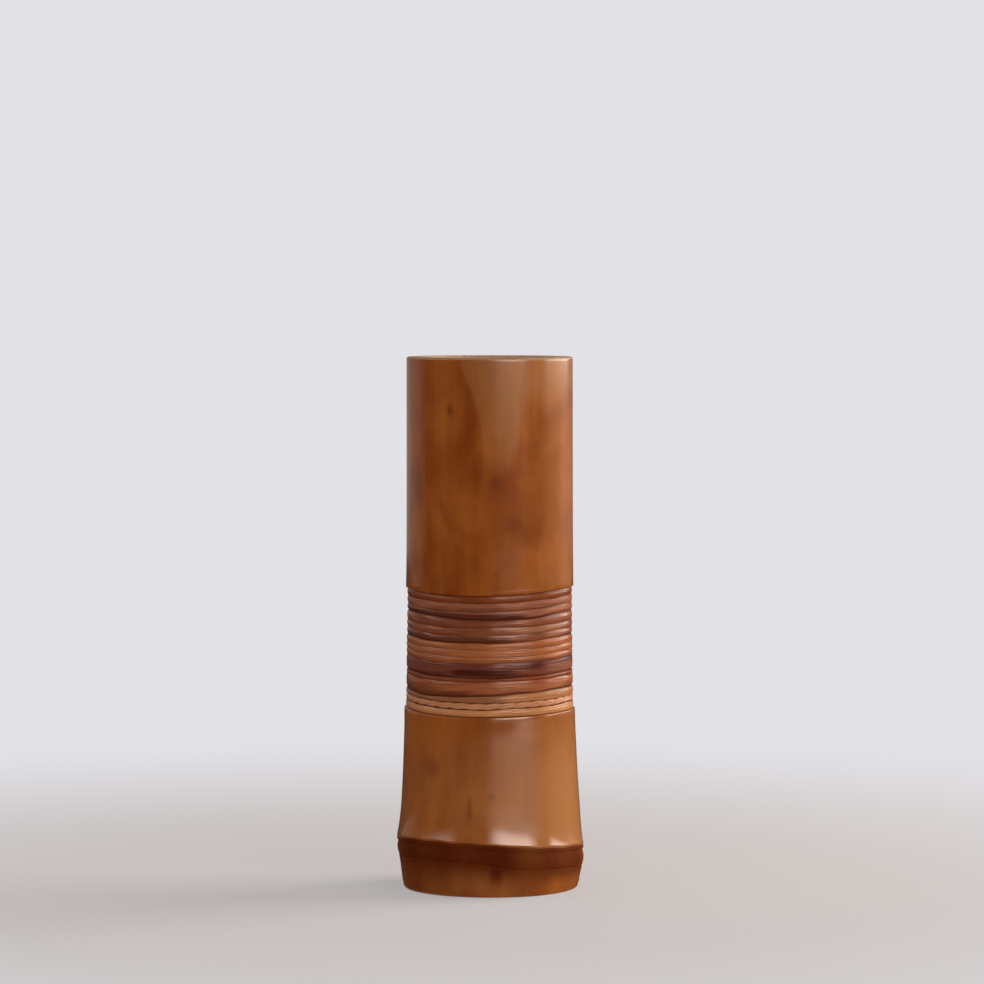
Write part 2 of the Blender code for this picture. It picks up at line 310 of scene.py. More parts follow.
def between(bearing, start, end, soft):
    """1 between two bearings, fading to 0 over a soft margin at each side."""
    middle, half = (start + end) / 2, (end - start) / 2
    return 1 - smooth(np.abs(off(bearing, middle)), half - soft / 2, half + soft / 2)


def within(bearing, span):
    """Amount of a span at a bearing."""
    return span.amount * between(bearing, span.start, span.end, span.soft)


def spot(bearing, height, centre, level, half_width, half_height):
    """1 at the middle of a soft oval spot, 0 outside it."""
    away = np.hypot(off(bearing, centre) / half_width, (height - level) / half_height)
    return 1 - smooth(away, SPOT_CORE, 1.0)


def wander(seed, bearing, waves=(2, 3, 5, 8, 13), drift=0.0):
    """Smooth irregularity that closes round the vase, within about 1 either way."""
    phases = np.random.default_rng(seed).uniform(0, 360, len(waves))
    sines = (np.sin(np.radians(w * bearing + p + drift)) for w, p in zip(waves, phases))
    return sum(sines) / math.sqrt(len(waves))


def direction(bearing):
    """Unit vectors on plan for bearings, as an array of x and y."""
    angle = np.radians(bearing)
    return np.stack([np.sin(angle), -np.cos(angle)], axis=-1)


def quads(grid):
    """Faces between the rows and the columns of a grid of point numbers."""
    corners = grid[:-1, :-1], grid[:-1, 1:], grid[1:, 1:], grid[1:, :-1]
    return np.stack(corners, axis=-1).reshape(-1, 4).tolist()


def closed(grid):
    """The grid with its first column again at the end, so that it closes round the vase."""
    return np.hstack([grid, grid[:, :1]])


def raised(plan, z):
    """Points on plan with their heights."""
    return np.concatenate([plan, z[..., None]], axis=-1)


def capped_tubes(name, *tubes):
    """Closed tubes through rings of points, with a face over each end, facing out, as one mesh."""
    points, faces = [], []
    for rings in tubes:
        count, around = rings.shape[:2]
        index = len(points) + np.arange(count * around).reshape(count, around)
        faces += quads(closed(index)) + [index[0, ::-1].tolist(), index[-1].tolist()]
        points += rings.reshape(-1, 3).tolist()
    mesh = bpy.data.meshes.new(name)
    mesh.from_pydata(points, [], faces)
    shape = bmesh.new()
    shape.from_mesh(mesh)
    bmesh.ops.recalc_face_normals(shape, faces=shape.faces)
    shape.to_mesh(mesh)
    shape.free()
    mesh.shade_smooth()
    mesh.set_sharp_from_angle(angle=math.radians(SHARP_ANGLE))
    return mesh


def tone(mesh, name, values):
    """Stores one number for each point, which the material reads by name."""
    mesh.attributes.new(name, "FLOAT", "POINT").data.foreach_set("value", values.ravel())


def placed(name, data):
    """A new object in the scene, which holds the data."""
    made = bpy.data.objects.new(name, data)
    bpy.context.scene.collection.objects.link(made)
    return made


def piece(mesh, node, slot):
    """Puts a mesh in the scene in place of its CAD node."""
    made = placed(mesh.name, mesh)
    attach(made, "root")
    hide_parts(node)


# Culm

def culm_radius(z):
    return MOUTH_RADIUS + NODE_SWELL * np.exp(-(z - LEDGE_HEIGHT) / SWELL_LENGTH)


BORE = MOUTH_RADIUS - WALL
RIM_HEIGHT = CAD_BOX[1].z
LEDGE_RADIUS = culm_radius(LEDGE_HEIGHT) + LEDGE_LIP
STUB_RADIUS = LEDGE_RADIUS - LEDGE_UNDERCUT
FOOT_RADIUS = STUB_RADIUS - FOOT_TAPER
STUB_BORE = FOOT_RADIUS - STUB_WALL
SCAR_HEIGHT = LEDGE_HEIGHT - SCAR_DROP
RECESS_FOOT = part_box("rattan_lower_edge")[0].z - FIT
RECESS_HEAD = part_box("rattan_upper_edge")[1].z + FIT


def arc(centre, radius, start, end, steps):
    """Points on a circular arc in the profile's plane, with its angles in degrees."""
    angles = np.radians(np.linspace(start, end, steps + 1))
    return [(centre[0] + radius * math.cos(a), centre[1] + radius * math.sin(a)) for a in angles]


def vessel_floor(r):
    return DIAPHRAGM_HEIGHT + DIAPHRAGM_DISH * (r / BORE) ** 2


def down(start, end, step):
    """Heights from the start down to the end, both in, about a step apart."""
    return np.linspace(start, end, max(2, round((start - end) / step) + 1))


def inside_profile():
    """Vessel's floor, its rounded corner, and the bore up to the rim."""
    flat = BORE - INNER_FILLET
    floor = [(r, vessel_floor(r)) for r in np.linspace(1 * MM, flat, 8)]
    corner = arc((flat, vessel_floor(flat) + INNER_FILLET), INNER_FILLET, -90, 0, 8)
    wall = [(BORE, z) for z in down(RIM_HEIGHT, corner[-1][1], BORE_STEP)[::-1][1:-1]]
    return floor[:-1] + corner + wall


def rim_profile():
    """The sawn rim between its two rounded edges."""
    outside = culm_radius(RIM_HEIGHT)
    inner = arc((BORE + RIM_ROUNDING, RIM_HEIGHT - RIM_ROUNDING), RIM_ROUNDING, 180, 90, 5)
    outer = arc((outside - RIM_ROUNDING, RIM_HEIGHT - RIM_ROUNDING), RIM_ROUNDING, 90, 10, 5)
    flat = [(r, RIM_HEIGHT) for r in np.linspace(inner[-1][0], outer[0][0], 6)[1:-1]]
    return inner + flat + outer


def wall_profile():
    """Lacquered outside from the rim's edge to the recess, past it, and down to the flare."""
    edge = [(culm_radius(RIM_HEIGHT), RIM_HEIGHT - RIM_ROUNDING)]
    corner = SHOULDER_ROUNDING
    head, foot = RECESS_HEAD, RECESS_FOOT
    upper = [(culm_radius(z), z) for z in down(RIM_HEIGHT - UPPER_STEP, head + corner, UPPER_STEP)]
    upper += arc((culm_radius(head) - corner, head + corner), corner, 0, -90, 3)[1:]
    lower = arc((culm_radius(foot) - corner, foot - corner), corner, 90, 0, 3)
    flare_top = LEDGE_HEIGHT + LEDGE_FLARE
    lower += [(culm_radius(z) + flare(z), z) for z in down(foot - corner, flare_top, LOWER_STEP)[1:]]
    return edge + upper + recess_profile() + lower


def recess_profile():
    """Recess's floor, with a pair of close points at each edge of every tail's pocket."""
    heights = {RECESS_HEAD, RECESS_FOOT}
    for pocket in POCKETS:
        for edge in (pocket.low, pocket.high):
            heights |= {edge - POCKET_EDGE, edge + POCKET_EDGE}
    return [(culm_radius(z) - RECESS_DEPTH, z) for z in sorted(heights, reverse=True)]


def flare(z):
    """How far the wall curls out over the node: slowly at first, and most at the ledge."""
    return FLARE_OUT * max(0, 1 - (z - LEDGE_HEIGHT) / FLARE_LENGTH) ** 3


def node_profile():
    """Flare, sharp ledge, its undercut, the rounded ridge and the scar line below it."""
    flare_heights = down(LEDGE_HEIGHT + LEDGE_FLARE, LEDGE_HEIGHT + 0.2 * MM, NODE_STEP)[1:]
    points = [(culm_radius(z) + flare(z), z) for z in flare_heights]
    lip = LEDGE_ROUNDING
    lip_foot = LEDGE_HEIGHT - LEDGE_THICKNESS
    points += arc((LEDGE_RADIUS - lip, LEDGE_HEIGHT - lip), lip, 60, 0, 3)
    points += [(LEDGE_RADIUS, z) for z in down(LEDGE_HEIGHT - lip, lip_foot, NODE_STEP)[1:]]
    undercut_foot = lip_foot - LEDGE_UNDERCUT
    ridge = down(undercut_foot, SCAR_HEIGHT + SCAR_DEPTH, NODE_STEP)
    for share, z in zip(np.linspace(0, 1, len(ridge)), ridge):
        points.append((STUB_RADIUS + RIDGE_RISE * math.sin(math.pi * share), z))
    points.append((STUB_RADIUS - SCAR_DEPTH, SCAR_HEIGHT))
    return points


def foot_profile():
    """Foot below the scar line, and its edge."""
    top = SCAR_HEIGHT - SCAR_DEPTH
    heights = down(top, FOOT_ROUNDING, FOOT_STEP)
    tapers = np.linspace(0, FOOT_TAPER, len(heights))
    sides = [(STUB_RADIUS - taper, z) for taper, z in zip(tapers, heights)]
    return sides + arc((FOOT_RADIUS - FOOT_ROUNDING, FOOT_ROUNDING), FOOT_ROUNDING, 0, -50, 3)[1:]


def ring_profile():
    """The ring that the vase stands on."""
    outer = FOOT_RADIUS - FOOT_ROUNDING
    return [(r, 0.0) for r in np.linspace(outer, STUB_BORE + FOOT_ROUNDING, 5)]


def hollow_profile():
    """Open stub under the node, up to the diaphragm's underside."""
    flat = STUB_BORE - INNER_FILLET
    under = vessel_floor(flat) - DIAPHRAGM_THICKNESS
    corner = arc((flat, under - INNER_FILLET), INNER_FILLET, 0, 90, 6)
    roof = [(r, vessel_floor(r) - DIAPHRAGM_THICKNESS) for r in np.linspace(flat, 1 * MM, 7)[1:]]
    return [(STUB_BORE, FOOT_ROUNDING)] + corner + roof


# How far the real culm leans out of the turned shape: height, at its left and at its right, in mm
FOOT_LEAN = (
    (0.0, -0.8, -0.3),
    (2.0, -0.6, 0.0),
    (6.0, -0.6, -0.2),
    (9.0, -0.5, -0.1),
    (14.4, -0.3, -0.05),
)
WALL_LEAN = (
    (14.4, 0.12, 0.40),
    (24.0, 0.0, 0.40),
    (34.0, 0.0, 0.24),
    (50.0, 0.0, 0.0),
)


def node_shift(z, bearing):
    """How far the node's outside is lifted: it slants, sags at one place and waves a little."""
    away = np.clip(np.maximum((z - LEDGE_HEIGHT) / SLANT_FADE, 1 - z / SCAR_HEIGHT), 0, 1)
    beside = np.minimum(np.abs(off(bearing, DIP_BEARING)) / DIP_SPREAD, 1)
    dip = LEDGE_DIP * np.cos(beside * math.pi / 2) ** 2
    slant = NODE_SLANT * np.cos(np.radians(bearing - SLANT_BEARING))
    wave = NODE_WAVE * wander(NODE_SEED, bearing, (6, 9, 14, 19))
    under, over = NODE_MARGIN, LEDGE_HEIGHT - NODE_MARGIN
    near_scar = smooth(z, under, SCAR_HEIGHT) * (1 - smooth(z, SCAR_HEIGHT, over))
    return np.cos(away * math.pi / 2) ** 2 * (slant - dip + wave) - within(bearing, SCAR_SAG) * near_scar


# How far the whole band rises above its lowest place, in mm, by bearing
SAG_BEARINGS = (-180, -100, -12, 80, 180)
SAG_AT_FOOT = (1.2, 1.2, 0.0, 0.75, 1.2)
SAG_AT_HEAD = (1.2, 1.2, 0.0, 1.45, 1.2)
SAG_FADE = 25 * MM
SAG_FULL = 0.5 * MM


def band_sag(z, bearing):
    """How far the hand-cut recess and its rattan rise round the vase, fading out above and below."""
    away = np.maximum(z - RECESS_HEAD, RECESS_FOOT - z)
    up = np.clip((z - RECESS_FOOT) / (RECESS_HEAD - RECESS_FOOT), 0, 1)
    foot, head = (eased(off(bearing, 0), SAG_BEARINGS, sag) for sag in (SAG_AT_FOOT, SAG_AT_HEAD))
    return MM * (foot * (1 - up) + head * up) * (1 - smooth(away, SAG_FULL, SAG_FADE))


def leaning(table, z, side):
    """Reads a table of lean at a height; side is 0 at the vase's left and 1 at its right."""
    heights, left, right = np.array(table).T
    return np.interp(z / MM, heights, left) * (1 - side) + np.interp(z / MM, heights, right) * side


def between_heights(z, low, high):
    """1 between two heights, fading over a third of a millimetre."""
    soft = 0.3 * MM
    return smooth(z, low, low + soft) * (1 - smooth(z, high - soft, high))


def growth(z, bearing):
    """How far the grown wall stands out of the turned one: its lean, flutes, bud scar and pits."""
    side = (1 + np.sin(np.radians(bearing))) / 2
    lean = np.where(z > LEDGE_HEIGHT, leaning(WALL_LEAN, z, side), leaning(FOOT_LEAN, z, side))
    flutes = FLUTE_DEPTH * wander(FLUTE_SEED, bearing, (3, 5, 7, 11), drift=z / MM * FLUTE_TURN)
    in_band = (smooth(z, RECESS_FOOT - FLUTE_CLEARANCE, RECESS_FOOT)
               * smooth(-z, -RECESS_HEAD - FLUTE_CLEARANCE, -RECESS_HEAD))
    bud = -BUD_DEPTH * spot(bearing, z, BUD_BEARING, BUD_HEIGHT, *BUD_SIZE)
    pits = PIT_DEPTH * wander(PIT_SEED, bearing, (23, 31, 43, 57), drift=z / MM * PIT_TURN)
    pits = pits * between_heights(z, SCAR_HEIGHT, LEDGE_HEIGHT - LEDGE_THICKNESS)
    return (lean + (flutes - FLUTE_SETBACK) * (1 - in_band) + bud + pits) * MM


def pushed_in(level, around, in_recess):
    """True at the points that lie in a pocket for the rattan's tails."""
    inside = np.zeros(level.shape, bool)
    for pocket in POCKETS:
        middle, half = (pocket.start + pocket.end) / 2, (pocket.end - pocket.start) / 2
        beside = np.abs(off(around, middle)) < half
        inside |= in_recess & beside & (level > pocket.low) & (level < pocket.high)
    return inside


def culm_bearings():
    """Bearings of the culm's points: even ones, and a close pair at each side of every pocket."""
    sides = [side for pocket in POCKETS for side in (pocket.start, pocket.end)]
    pairs = [side + turn for side in sides for turn in (-POCKET_EDGE_TURN, POCKET_EDGE_TURN)]
    even = np.arange(CULM_STEPS) * 360 / CULM_STEPS
    return np.unique(np.concatenate([even, np.array(pairs) % 360]))


def share_of_growth(inside, rim, outside, ring, hollow):
    """How far each point of the profile follows the growth of the outside: from 0 inside to 1."""
    cuts = []
    for cut in (rim, ring):
        radius = np.array(cut)[:, 0]
        cuts.append(((radius - BORE) / (MOUTH_RADIUS - BORE)).clip(0, 1) ** 2)
    parts = np.zeros(len(inside)), cuts[0], np.ones(len(outside)), cuts[1], np.zeros(len(hollow))
    return np.concatenate(parts)[:, None]


def make_culm():
    """The whole culm, turned from its profile and then given its growth and its slanted node."""
    outside = wall_profile() + node_profile() + foot_profile()
    parts = inside_profile(), rim_profile(), outside, ring_profile(), hollow_profile()
    outline, bearings = np.array(sum(parts, [])), culm_bearings()
    shape = (len(outline), len(bearings))
    radius = np.broadcast_to(outline[:, :1], shape).copy()
    level = np.broadcast_to(outline[:, 1:], shape).copy()
    around = np.broadcast_to(bearings, shape)
    share = share_of_growth(*parts)
    in_recess = np.isclose(outline[:, :1], recess_radius(outline[:, 1:]))
    radius += share * growth(level, around)
    radius -= pushed_in(level, around, in_recess) * (TAIL_SEAT + FIT)
    height = level + share * (node_shift(level, around) + band_sag(level, around))
    mesh = capped_tubes("lacquered_culm", raised(direction(around) * radius[..., None], height))
    finish = np.repeat([BARE, SAWN, SKIN, SAWN, BARE], [len(part) for part in parts])[:-1]
    slots = np.concatenate([np.repeat(finish, len(bearings)), [BARE, BARE]])
    mesh.polygons.foreach_set("material_index", slots.astype(np.int32))
    # Painted shade on the recess's floor, darkest where the joins leave it open; the burn tone carries it
    painted_recess_shade = in_recess * (RECESS_SHADE + within(around, OPEN_FLOOR_SHADE))
    tone(mesh, "burn", np.maximum(burn(level, around), painted_recess_shade))
    # Painted warm light, lighter and more golden low down and at the right
    tone(mesh, "painted_warm_light", painted_warm_light(level, around))
    # Painted reflection in the tongue and its spots, and the pale corner
    tone(mesh, "pale_corner_and_painted_reflection", pale_corner_and_painted_reflection(level, around))
    tone(mesh, "blemish", marked(BLEMISHES, level, around))
    piece(mesh, "culm", "lacquered_bamboo")
    for made in (lacquered_skin(), sawn_end(), bare_inside()):
        mesh.materials.append(made)


def burn(z, bearing):
    """Dark stain from the ledge's edge down to the scar line, thinning out down the foot."""
    change = within(bearing, BURN_LONGER) + within(bearing, BURN_SHORTER)
    run = BURN_RUN * (1 + change + BURN_WAVE * wander(BURN_RUN_SEED, bearing, (5, 9, 16)))
    below, above = SCAR_HEIGHT - SCAR_BAND[0], SCAR_HEIGHT + SCAR_BAND[1]
    foot = BURN_UNDER_SCAR * smooth(z, SCAR_HEIGHT - run, below)
    foot += (1 - BURN_UNDER_SCAR) * smooth(z, below, above)
    strength = BURN_STRENGTH + BURN_UNEVEN * wander(BURN_DEPTH_SEED, bearing, (3, 7, 11))
    stain = (1 - smooth(z, *BURN_EDGE)) * foot * strength
    line = SCAR_LINE * np.exp(-((z - SCAR_HEIGHT) / SCAR_LINE_WIDTH) ** 2)
    return np.maximum(np.maximum(stain, spot(bearing, z, *BUD_STAIN)), line)


def painted_warm_light(z, bearing):
    """Painted warm light: the skin is painted more golden towards the foot, as if lit from below, and most at
    the right of the front, where the light falls.
    """
    low = (1 - smooth(z, *PAINTED_LIGHT_FADE)) * (PAINTED_LIGHT_AT_FOOT + (1 - PAINTED_LIGHT_AT_FOOT) * smooth(z, *PAINTED_LIGHT_RISE))
    around = PAINTED_LIGHT_ALL_ROUND + within(bearing, PAINTED_LIGHT_FRONT) + within(bearing, PAINTED_LIGHT_RIGHT)
    side = within(bearing, PAINTED_LIGHT_SIDE) * smooth(z, *PAINTED_LIGHT_SIDE_RISE)
    foot = within(bearing, PAINTED_LIGHT_FOOT) * (1 - smooth(z, *PAINTED_LIGHT_FOOT_FADE))
    return low * around + side + foot


def pale_corner_and_painted_reflection(z, bearing):
    """Painted reflection: a paler tongue that runs down from the rim at the front and comes to a point, with
    a pale corner at its right, and lighter spots of painted reflection.
    """
    drop, turned = (RIM_HEIGHT - z) / MM, off(bearing, 0)
    left = np.interp(drop, TONGUE_DROPS, TONGUE_LEFT)
    right = np.interp(drop, TONGUE_DROPS, TONGUE_RIGHT)
    crisp, soft = TONGUE_EDGES
    inside = smooth(turned, left - crisp, left + crisp) * (1 - smooth(turned, right - soft, right + soft))
    faint, strong = TONGUE_STRENGTH
    strength = faint + (strong - faint) * smooth(turned, left, left + TONGUE_SPREAD)
    tongue = inside * strength * (1 - smooth(drop, *TONGUE_FADE))
    reach = (CORNER_DROP + CORNER_WAVE * wander(CORNER_SEED, bearing, (4, 7, 12))
             - CORNER_RISE * np.maximum(turned - CORNER_TURN, 0))
    corner = within(bearing, CORNER) * (1 - smooth(drop, reach - CORNER_SOFT, reach + CORNER_SOFT))
    return np.maximum(np.maximum(tongue, corner), marked(PAINTED_REFLECTION_MARKS, z, bearing))


def marked(marks, z, bearing):
    """How strongly each point is marked by the soft spots that lie on it."""
    total = np.zeros_like(z)
    for mark in marks:
        soft = spot(bearing, z, mark.bearing, mark.height * MM, mark.wide, mark.tall * MM)
        total = np.maximum(total, soft * mark.strength)
    return total


# Rattan

Length = namedtuple("Length", "node turns side climbs_on peel pith crown varnish")
Streak = namedtuple("Streak", "row start end low high strength")
Pocket = namedtuple("Pocket", "start end low high")

# The lengths from the bottom up. Where the ends of a single turn meet, beside the middle of the
# back, is its side, which is 0 for the lengths that climb from row to row. Some climb on into the
# next. A flatter section has a higher crown.
LENGTHS = (
    Length("rattan_lower_edge", 1, 1, 0, "#eaa66e", "#ce8a58", 2.2, 0.55),
    Length("rattan_twist", 1, -1, 0, "#eba778", "#d29062", 2.2, 0.60),
    Length("rattan_straw", 1, 1, 0, "#d6915f", "#bb794a", 2.6, 0.45),
    Length("rattan_tan", 1, -1, 0, "#c27448", "#a45a36", 3.4, 0.45),
    Length("rattan_thread", 1, 1, 0, "#a0542c", "#84401e", 2.0, 0.30),
    Length("rattan_wine", 1, -1, 0, "#9c5440", "#7c4230", 3.4, 0.30),
    Length("rattan_amber", 3, 0, 1, "#c87a4a", "#aa603a", 2.2, 0.45),
    Length("rattan_russet", 3, 0, 1, "#ae6442", "#8e4e30", 2.2, 0.50),
    Length("rattan_brown", 2, 0, 0, "#b67050", "#9a5842", 2.2, 0.18),
    Length("rattan_upper_edge", 1, 1, 0, "#a0542c", "#864420", 2.2, 0.35),
)

# Darker stretches of the rows, by dye, and by painted shade below some seams: bearings, the share of the
# strip's width, and how dark
STREAKS = (
    Streak(2, -100, 10, -0.1, 0.85, 0.45),
    Streak(3, -95, -14, -0.2, 0.40, 0.70),
    Streak(3, -92, -34, -0.2, 0.66, 0.50),
    Streak(3, -16, 30, -0.2, 0.15, 0.40),
    Streak(5, -28, 18, 0.10, 0.62, 1.0),
    Streak(5, 8, 40, 0.50, 0.95, 0.75),
    Streak(5, -66, 44, -0.3, 1.3, 0.22),
    Streak(5, 32, 100, 0.72, 1.3, 0.42),
    Streak(6, -90, 60, -0.1, 0.6, 0.28),
    Streak(6, 36, 104, -0.3, 0.6, 0.46),
    Streak(9, -80, 12, -0.1, 0.85, 0.62),
    Streak(11, -60, 2, 0.0, 0.9, 0.35),
    Streak(12, -82, 24, -0.2, 0.75, 0.88),
    Streak(13, -22, 8, 0.0, 0.5, 0.40),
)

# Stretches where the dye has faded
FADED = (
    Streak(2, -14, 10, 0.0, 1.0, 0.40),
    Streak(5, 44, 100, 0.1, 0.7, 0.20),
    Streak(10, 18, 66, 0.0, 0.9, 0.38),
)

# How deep the seam under each row is and how much painted shade it lays on the strips' edges, and last the
# one over the top row
GROOVES = (0.45, 0.12, 0.08, 0.9, 0.35, 0.7, 0.25, 0.1, 0.12, 0.8, 0.35, 0.35, 0.85, 0.45, 0.45, 0.4)

# Seams between rows that don't run level: how far they rise at the left and at the right, in mm
RISES = {
    3: (-1.0, 0.55), 6: (0.0, -0.3), 7: (0.0, -0.3), 8: (0.0, -0.2), 9: (0.0, 0.15),
    10: (0.0, -0.1), 11: (0.0, -0.3), 12: (0.7, 0.2),
}
RISE_BEARINGS = (-180, -125, -57, 0, 55, 125, 180)

# How far a seam wanders in mm, the bearings past which it doesn't, and how uneven its depth is
SEAM_WANDER = 0.11
SEAM_CALM = (135, 160)
GROOVE_MEAN = 0.85
GROOVE_UNEVEN = 0.25

# A streak's soft ends in degrees, its soft edges and how much narrower it gets at its ends
STREAK_ENDS = 14
STREAK_EDGE = 0.12
STREAK_TAPER = 0.35


def rows():
    """Lower and upper edge of every row in the recess, from the frame, bottom to top."""
    found = []
    for length in LENGTHS:
        low, high = (corner.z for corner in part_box(length.node))
        lies_in = length.turns + length.climbs_on
        width = (high - low - (lies_in - 1) * TURN_GAP) / lies_in
        feet = [low + k * (width + TURN_GAP) for k in range(length.turns)]
        found += [(foot, foot + width) for foot in feet]
    return np.array(found)


ROWS = rows()
SEAMS = np.array([RECESS_FOOT + HAIRLINE, *((ROWS[:-1, 1] + ROWS[1:, 0]) / 2), RECESS_HEAD - HAIRLINE])


def seam(boundary, bearing):
    """Height of the hairline between two rows, which wanders a little and may rise or fall."""
    level = SEAMS[boundary]
    if boundary in (0, len(SEAMS) - 1):
        return np.full_like(bearing, level, dtype=float)
    turned = off(bearing, 0)
    left, right = RISES.get(boundary, (0.0, 0.0))
    rise = eased(turned, RISE_BEARINGS, (0, 0, left, 0, right, 0, 0))
    calm = 1 - smooth(np.abs(turned), *SEAM_CALM)
    return level + (rise + SEAM_WANDER * calm * wander(SEAM_SEED + boundary, bearing)) * MM


def eased(value, places, heights):
    """Passes through the heights with a level tangent at each."""
    index = np.clip(np.searchsorted(places, value, side="right") - 1, 0, len(places) - 2)
    places, heights = np.array(places, float), np.array(heights, float)
    start, end = places[index], places[index + 1]
    share = smooth(value, start, end)
    return heights[index] * (1 - share) + heights[index + 1] * share


def recess_radius(z):
    """Radius of the recess's floor."""
    return culm_radius(z) - RECESS_DEPTH


def tail_offset(z):
    """Degrees between the end of a level run and its tail, which points at the axis."""
    bend = BEND_INSIDE + STRIP_THICKNESS / 2
    middle = recess_radius(z) + FIT + STRIP_THICKNESS / 2
    return math.degrees(math.asin(bend / (middle - bend)))


def half_pair(z):
    """Half the degrees between two ends that meet, whose tails stand side by side."""
    apart = STRIP_THICKNESS + TURN_GAP
    return tail_offset(z) + math.degrees(apart / 2 / (recess_radius(z) - TAIL_SEAT))


def half_thickness(z):
    """Half the degrees that a strip's thickness takes up on the recess's floor."""
    return math.degrees(STRIP_THICKNESS / 2 / recess_radius(z))


def run_ends(length, starts_coil, z):
    """Bearings at which a length's first turn starts and its last turn ends."""
    whole = length.turns * 360
    if length.side:
        middle = BACK + length.side * JOIN_STAGGER
        return middle + half_pair(z), middle + whole - half_pair(z)
    past_climb = BACK + CLIMB + half_thickness(z)
    start = past_climb + (tail_offset(z) if starts_coil else 2 * half_pair(z))
    if length.climbs_on:
        return start, past_climb + whole
    return start, BACK - CLIMB + whole - half_thickness(z) - tail_offset(z)


def groove(boundary, bearing):
    """How deep the seam between two rows is, and how much painted shade it lays on the edges beside it."""
    uneven = GROOVE_UNEVEN * wander(GROOVE_SEED + boundary, bearing, (2, 3, 5))
    return GROOVES[boundary] * (GROOVE_MEAN + uneven)


def edges(length, first_row, bearing, measure):
    """A measure of the seams at a length's two edges, which step up a row across the back."""
    if length.side:
        return measure(first_row, bearing), measure(first_row + 1, bearing)
    turn, part = np.divmod(bearing - BACK + CLIMB, 360)
    share = smooth(part, 0, 2 * CLIMB)
    low, high = np.zeros_like(bearing), np.zeros_like(bearing)
    for k in range(length.turns + 1):
        now = turn == k
        under, at, over = (measure(first_row + k + step, bearing) for step in (-1, 0, 1))
        low[now] = (under * (1 - share) + at * share)[now]
        high[now] = (at * (1 - share) + over * share)[now]
    return low, high


def tail(bearing, sense, inner, deep):
    """Feet and outward directions of a bend and the tail after it; sense is 1 onward, -1 back."""
    offset = tail_offset(BAND_MIDDLE)
    bend = BEND_INSIDE + STRIP_THICKNESS / 2
    swing = bearing + sense * np.linspace(0, 90 + offset, BEND_STEPS + 1)[1:]
    centre = direction(bearing) * (inner + STRIP_THICKNESS / 2 - bend)
    out = direction(swing)
    feet = centre + BEND_INSIDE * out
    inward = direction(bearing + sense * offset)
    reach = float(feet[-1] @ inward)
    down_to = [feet[-1] + (r - reach) * inward for r in np.linspace(reach, deep, TAIL_STEPS + 1)[1:]]
    return np.vstack([feet, down_to]), np.vstack([out, [out[-1]] * TAIL_STEPS])


def path(length, starts_coil, first_row):
    """Stations of a length: foot of its section on plan, outward direction, and bearing."""
    foot = ROWS[first_row][0]
    start, end = run_ends(length, starts_coil, foot)
    run = np.linspace(start, end, round(TURN_STEPS * (end - start) / 360))
    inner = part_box(length.node)[1].x - STRIP_THICKNESS
    deep = recess_radius(foot) - TAIL_SEAT
    head_feet, head_out = tail(start, -1, inner, deep)
    tail_feet, tail_out = tail(end, 1, inner, deep)
    feet = np.vstack([head_feet[::-1], direction(run) * inner, tail_feet])
    out = np.vstack([head_out[::-1], direction(run), tail_out])
    bearing = np.concatenate([[start] * len(head_feet), run, [end] * len(tail_feet)])
    return feet, out, bearing


def strip_mesh(length, starts_coil, first_row):
    """One length of split rattan: flat inside, arched outside, with fine ribs along it."""
    feet, out, bearing = path(length, starts_coil, first_row)
    low, high = edges(length, first_row, bearing, seam)
    low, high = low + HAIRLINE / 2, high - HAIRLINE / 2
    low_groove, high_groove = edges(length, first_row, bearing, groove)
    width = float(np.max(high - low))
    points = SECTION_POINTS + 2 * round(width / SECTION_SPACING)
    across = (1 - np.cos(np.linspace(0, math.pi, points))) / 2
    deep = np.where(across < 0.5, low_groove[:, None], high_groove[:, None])
    arch = 1 - np.abs(2 * across - 1) ** length.crown
    edge = STRIP_THICKNESS - SHALLOW_GROOVE - (DEEP_GROOVE - SHALLOW_GROOVE) * deep
    ribs = sum(
        RIB * np.sin(2 * math.pi * across * width / pitch
                     + RIB_WANDER * wander(RIB_SEED + first_row + k, bearing)[:, None])
        for k, pitch in enumerate(RIB_PITCHES)
    )
    swell = SWELL * (wander(SWELL_SEED + first_row, bearing)[:, None] - 1)
    rise = edge + (STRIP_THICKNESS - edge + swell + ribs) * arch
    across = np.concatenate([across, FLAT_BACK])
    rise = np.hstack([rise, np.zeros((len(bearing), len(FLAT_BACK)))])
    plan = feet[:, None, :] + out[:, None, :] * rise[..., None]
    z = low[:, None] + (high - low)[:, None] * across
    z += band_sag(z, bearing[:, None])
    mesh = capped_tubes("wound_" + length.node, raised(plan, z))
    # Painted shade, with dye pooled in the seams: darker towards the strip's edges, as much as each seam is
    # deep
    dye_and_shade_near_edges = smooth(np.abs(2 * across - 1), EDGE_FROM, 1.0)
    tone(mesh, "edge", dye_and_shade_near_edges * np.hstack([deep, deep[:, -1:], deep[:, :1]]))
    # Darker streaks: dye, and painted shade below some seams
    tone(mesh, "stain", streaked(STREAKS, first_row, bearing[:, None], across))
    tone(mesh, "faded", streaked(FADED, first_row, bearing[:, None], across))
    return mesh


